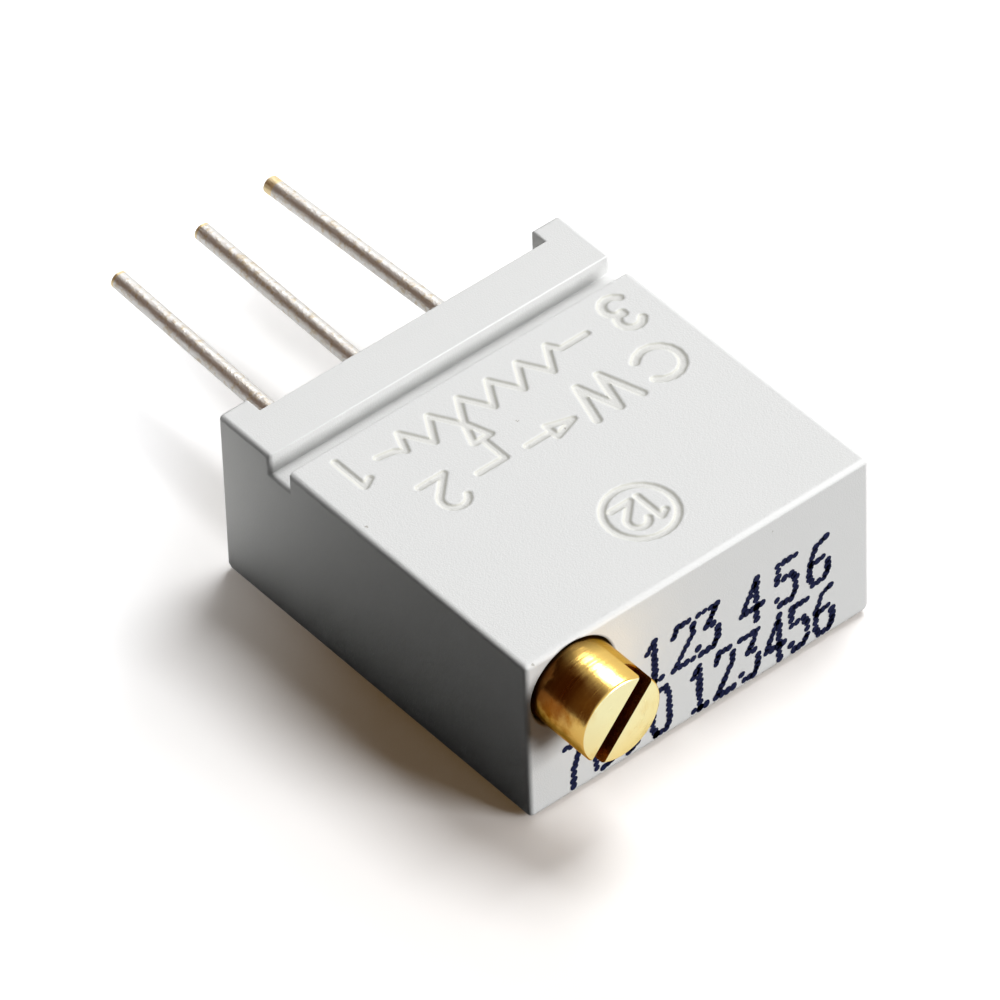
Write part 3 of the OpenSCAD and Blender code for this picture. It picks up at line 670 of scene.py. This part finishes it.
def make_brass():
    """Turned brass: fine rings, brown tarnished patches, painted shade below, on the left, by the bore and in
    the slot, a painted highlight on the end.
    """
    material, tree, shader, place = start_material("screw_brass", (0.86, 0.64, 0.27), 0.2, 1.0)
    shader.inputs["Specular Tint"].default_value = (0.9, 0.68, 0.36, 1)
    grain = place_grain(tree, place, 8000.0)
    across = off_screw_axis(tree, place)
    away = measure(tree, "LENGTH", across)
    along = add(tree, "SeparateXYZ", {0: place}).outputs["Y"]
    section = add(tree, "CombineXYZ", {"X": away, "Y": along}).outputs[0]
    rings = noise(tree, section, 14000.0, 3.0)
    wide_rings = noise(tree, section, 2400.0, 1.0)
    blotches = noise(tree, place, 1100.0, 5.0, 0.65)
    dents = noise(tree, place, 1700.0, 1.0)
    # It is tarnished brown in blotches, with painted shade underneath, in one patch on the left and by the
    # bore
    lower_side = measure(tree, "DOT_PRODUCT", across, (-0.7, 0, -0.7))
    tarnish_and_shade = ramp(tree, blotches, 0.47, 0.66, 0.0, 0.85)
    tarnish_and_shade = maths(tree, "ADD", tarnish_and_shade, maths(tree, "MULTIPLY", lower_side, 650.0))
    left_side = measure(tree, "DOT_PRODUCT", across, (-0.85, 0, 0.53))
    ragged = maths(tree, "ADD", left_side, maths(tree, "MULTIPLY", blotches, 0.0008))
    painted_dark_left = ramp(tree, ragged, 0.00125, 0.0015, soft=True)
    painted_dark_left = maths(tree, "MULTIPLY", painted_dark_left, ramp(tree, along, -0.0065, -0.0059))
    shade_by_bore = ramp(tree, along, -0.0057, -0.0051)
    # The end face is painted paler, a painted highlight, and painted shade in the slot deepens with its depth
    under_face, dark_from, slot_reach = -0.00674, -0.00655, 0.00108
    painted_bright_end = maths(tree, "LESS_THAN", along, under_face)
    depth = ramp(tree, along, under_face, dark_from)
    painted_slot_shade = maths(tree, "MULTIPLY", maths(tree, "LESS_THAN", away, slot_reach), depth)
    color = tint(tree, grain["Patches"], (0.84, 0.60, 0.19), (0.78, 0.50, 0.12))
    color = tint(tree, tarnish_and_shade, color, (0.50, 0.22, 0.03))
    color = tint(tree, maths(tree, "MULTIPLY", painted_dark_left, 0.85), color, (0.20, 0.055, 0.008))
    color = tint(tree, maths(tree, "MULTIPLY", shade_by_bore, 0.9), color, (0.06, 0.015, 0.003))
    color = tint(tree, painted_bright_end, color, tint(tree, tarnish_and_shade, (0.86, 0.80, 0.46), (0.78, 0.62, 0.28)))
    color = tint(tree, maths(tree, "MULTIPLY", painted_slot_shade, 0.92), color, (0.26, 0.09, 0.02))
    feed(tree, shader, "Base Color", color)
    worn = maths(tree, "MULTIPLY", rings, 0.2)
    feed(tree, shader, "Roughness", maths(tree, "ADD", maths(tree, "MULTIPLY", blotches, 0.25), worn))
    height = maths(tree, "ADD", rings, maths(tree, "MULTIPLY", wide_rings, 3.0))
    height = maths(tree, "ADD", height, maths(tree, "MULTIPLY", dents, 6.0))
    height = maths(tree, "ADD", height, maths(tree, "MULTIPLY", grain["Grain"], 0.5))
    roughen(tree, shader, height, 0.000004)
    return material


def make_screw():
    """The bar turned to its outline, with the thread's ridge joined on and the slot sawn in."""
    seal_y, land_y, neck_y, collar_y = -4.75, -4.3, -3.87, -3.35
    thread_y, thread_end, end_y = -2.295, 0.955, 2.075
    head_radius, collar_radius, core_radius, neck_radius = 1.13, 1.04, 0.65, 0.6
    thread_pitch, thread_turns = 0.65, 4.6
    slot_half, slot_depth, slot_angle = 0.23, 0.55, -49
    shape = turned([
        (0, head_end), (1.06, head_end), (1.105, head_end + 0.025), (head_radius, head_end + 0.07),
        (head_radius, seal_y - 0.03), (1.1, seal_y), (0.78, seal_y), (0.78, land_y), (1.1, land_y),
        (head_radius, land_y + 0.03), (head_radius, neck_y - 0.03), (1.1, neck_y), (neck_radius, neck_y),
        (neck_radius, collar_y), (1.0, collar_y), (collar_radius, collar_y + 0.04), (collar_radius, thread_y),
        (core_radius, thread_y), (core_radius, thread_end), (neck_radius, thread_end),
        (neck_radius, end_y - 0.1), (0.52, end_y), (0, end_y)], screw_axis, 120)
    root, crest = (0.62, 0.209), (1.03, 0.071)
    ridge = turned(
        [(root[0], thread_y - root[1]), (root[0], thread_y + root[1]), (crest[0], thread_y + crest[1]),
         (crest[0], thread_y - crest[1]), (root[0], thread_y - root[1])],
        screw_axis, 330, angle=2 * math.pi * thread_turns, climb=thread_pitch * thread_turns)
    bmesh.ops.holes_fill(ridge, edges=ridge.edges[:])
    bmesh.ops.recalc_face_normals(ridge, faces=ridge.faces)
    shape = carve(shape, ridge, "UNION")
    slot = block((-2, head_end - 0.5, -slot_half), (2, head_end + slot_depth, slot_half))
    swing = Matrix.Rotation(math.radians(slot_angle), 3, "Y")
    bmesh.ops.rotate(slot, cent=(0, 0, 0), matrix=swing, verts=slot.verts)
    bmesh.ops.translate(slot, vec=(screw_axis[0], 0, screw_axis[1]), verts=slot.verts)
    return carve(shape, slot)


make_piece("slotted_screw", make_screw(), make_brass(), "screw", ["adjustment_screw"])

# --- Seal ring --------------------------------------------------------------------------------
# A black rubber ring in the screw's groove, which keeps the board wash out of the case.
# It is bought as a standard moulded ring and rolled on over the thread before the screw goes in.


def make_rubber():
    """Matt black rubber."""
    material, tree, shader, place = start_material("ring_rubber", (0.018, 0.018, 0.02), 0.6)
    grain = place_grain(tree, place, 12000.0)
    color = tint(tree, grain["Grain"], (0.012, 0.012, 0.014), (0.03, 0.03, 0.032))
    feed(tree, shader, "Base Color", color)
    roughen(tree, shader, grain["Grain"], 0.000004)
    return material


dress("seal_ring", make_rubber())

# --- Potting ----------------------------------------------------------------------------------
# Grey-brown epoxy, poured into the mouth round the three leads once the plate is in. It creeps up the
# walls and the wires a little before it sets, and stays glossy.


def make_epoxy():
    """Glossy grey-brown resin with cloudy patches and a few small dips where bubbles broke."""
    material, tree, shader, place = start_material("potting", (0.24, 0.21, 0.165), 0.16)
    grain = place_grain(tree, place, 3000.0, 1900.0)
    color = tint(tree, grain["Patches"], (0.27, 0.235, 0.185), (0.19, 0.165, 0.13))
    feed(tree, shader, "Base Color", tint(tree, grain["Specks"], color, (0.45, 0.42, 0.36)))
    uneven = maths(tree, "ADD", maths(tree, "MULTIPLY", grain["Patches"], 0.2), 0.08)
    feed(tree, shader, "Roughness", uneven)
    dips = maths(tree, "ADD", grain["Grain"], maths(tree, "MULTIPLY", grain["Specks"], -1.0))
    roughen(tree, shader, dips, 0.000012)
    return material


def make_potting():
    """A block whose outer face lies low, and rises to full height at the walls and the wires."""
    creep_height, wall_reach, wire_reach = 0.07, 0.16, 0.1
    low, high = box_of("end_seal")
    shape = block(low, high)
    outer = next(f for f in shape.faces if f.normal.y > 0.9)
    bmesh.ops.subdivide_edges(shape, edges=outer.edges[:], cuts=90, use_grid_fill=True)
    shape.normal_update()
    for vert in shape.verts:
        x, y, z = vert.co
        if abs(y - high.y) > 1e-4:
            continue
        wall = min(x - low.x, high.x - x, z - low.z, high.z - z)
        wire = min(math.hypot(x - i * lead_pitch, z - lead_axis_z) - lead_radius for i in (-1, 0, 1))
        creep = math.exp(-max(wall, 0) / wall_reach) + 0.9 * math.exp(-max(wire, 0) / wire_reach)
        vert.co.y += creep_height * min(creep, 1) - creep_height
    return shape


make_piece("potting_fill", make_potting(), make_epoxy(), "case", ["end_seal"])

# --- Table, light and camera ------------------------------------------------------------------
# A plain white table, soft light from the right and above, and a long lens that looks down on the
# marked face past the screw. The table lies a hair under the part.


def make_table_paint():
    """White paint with a painted glow: white for the camera further off and past the lead end, washing
    shadows out, and dim and warm in the part's shadow. Past the lead end it also glows onto the part, less
    along the left wall."""
    material, tree, shader, place = start_material("table_white", (0.96, 0.96, 0.965), 1.0)
    shader.inputs["Specular IOR Level"].default_value = 0.0
    shader.inputs["Emission Strength"].default_value = 1.0
    rays = add(tree, "LightPath").outputs
    mirrored = maths(tree, "MAXIMUM", rays["Is Glossy Ray"], rays["Is Transmission Ray"])
    seen = maths(tree, "MAXIMUM", rays["Is Camera Ray"], mirrored)
    feed(tree, shader, "Base Color", tint(tree, seen, (0.03, 0.028, 0.026), (0.96, 0.96, 0.965)))
    away = measure(tree, "LENGTH", place)
    # Painted light: the camera's glow is dim and warm in the part's shadow, and white past it and behind the
    # leads
    off_shadow = measure(tree, "DISTANCE", place, (0.001, -0.0065, 0))
    past_shadow = ramp(tree, off_shadow, 0.0085, 0.017, soft=True)
    glow = tint(tree, past_shadow, (0.075, 0.045, 0.018), (0.26, 0.25, 0.24))
    behind = measure(tree, "DOT_PRODUCT", place, (-0.6, 0.8, 0))
    glow = tint(tree, ramp(tree, behind, 0.008, 0.012, soft=True), glow, (0.56, 0.56, 0.57))
    glow = tint(tree, ramp(tree, away, 0.013, 0.035, soft=True), glow, (1.0, 1.0, 1.0))
    # Painted light: past the lead end the table glows onto the part, though it is no lamp
    past_wall = measure(tree, "DOT_PRODUCT", place, (-0.25, 0.97, 0))
    past_wall = ramp(tree, past_wall, 0.0065, 0.0095, soft=True)
    glow_onto_part = maths(tree, "MULTIPLY", past_wall, ramp(tree, away, 0.023, 0.014, soft=True))
    glow_onto_part = tint(tree, glow_onto_part, (0.0, 0.0, 0.0), (2.3, 2.3, 2.26))
    glow_onto_part = tint(tree, seen, glow_onto_part, (0.0, 0.0, 0.0))
    feed(tree, shader, "Emission Color", tint(tree, rays["Is Camera Ray"], glow_onto_part, glow))
    return material


table_shape = bmesh.new()
bmesh.ops.create_grid(table_shape, x_segments=1, y_segments=1, size=3.0)
bmesh.ops.translate(table_shape, vec=(0, 0, -0.00002), verts=table_shape.verts)
table_mesh = bpy.data.meshes.new("table")
table_shape.to_mesh(table_mesh)
table_shape.free()
table_mesh.materials.append(make_table_paint())
table = bpy.data.objects.new("table", table_mesh)
bpy.context.collection.objects.link(table)


def make_world():
    """White for the camera, and for the part a room that is dark on its left, with a window in front."""
    world = bpy.data.worlds.new("studio")
    world.use_nodes = True
    tree = world.node_tree
    rays = add(tree, "LightPath").outputs
    towards = add(tree, "TexCoord").outputs["Generated"]
    lit = []
    for direction, start in (((-0.98, 0.05, 0.2), -0.8), ((-0.85, 0.5, 0.15), -0.3)):
        to_left = measure(tree, "DOT_PRODUCT", towards, direction)
        lit.append(ramp(tree, to_left, start, start + 0.9, 1.0, 0.0, soft=True))
    to_front = measure(tree, "DOT_PRODUCT", towards, (0.45, -0.88, 0.15))
    window = ramp(tree, to_front, 0.3, 0.9, soft=True)
    soft_light = tint(tree, lit[0], (0.02, 0.02, 0.02), tint(tree, window, (0.5, 0.5, 0.5), (1.2, 1.2, 1.2)))
    in_mirrors = tint(tree, lit[1], (0.11, 0.05, 0.015), (1.0, 1.0, 1.0))
    mirrored = maths(tree, "MAXIMUM", rays["Is Glossy Ray"], rays["Is Transmission Ray"])
    color = tint(tree, mirrored, soft_light, in_mirrors)
    color = tint(tree, rays["Is Camera Ray"], color, (1.0, 1.0, 1.0))
    tree.links.new(color, tree.nodes["Background"].inputs["Color"])
    return world


def make_lamp(name, place, size, power):
    """A soft square lamp that faces the object."""
    lamp = bpy.data.lights.new(name, "AREA")
    lamp.size = size
    lamp.energy = power
    made = bpy.data.objects.new(name, lamp)
    made.location = place
    made.rotation_euler = (-Vector(place)).to_track_quat("-Z", "Y").to_euler()
    bpy.context.collection.objects.link(made)


bpy.context.scene.world = make_world()
make_lamp("key", (0.19, 0.04, 0.41), 0.20, 1.47)
make_lamp("front", (0.18, -0.34, 0.13), 0.16, 1.28)

camera_data = bpy.data.cameras.new("camera")
camera_data.lens = 369.8
camera_data.sensor_width = 36
camera_data.clip_start = 0.01
camera = bpy.data.objects.new("camera", camera_data)
bpy.context.collection.objects.link(camera)
azimuth, elevation, roll = (math.radians(a) for a in (38.6291, 44.0858, -2.0398))
level = math.cos(elevation)
ahead = Vector((math.sin(azimuth) * level, math.cos(azimuth) * level, -math.sin(elevation)))
right = ahead.cross(Vector((0, 0, 1))).normalized()
up = right.cross(ahead)
right, up = math.cos(roll) * right + math.sin(roll) * up, math.cos(roll) * up - math.sin(roll) * right
turn = Matrix((right, up, -ahead)).transposed().to_4x4()
camera.matrix_world = Matrix.Translation((-0.10440, -0.12880, 0.16367)) @ turn
bpy.context.scene.camera = camera
bpy.context.scene.view_settings.view_transform = "Standard"
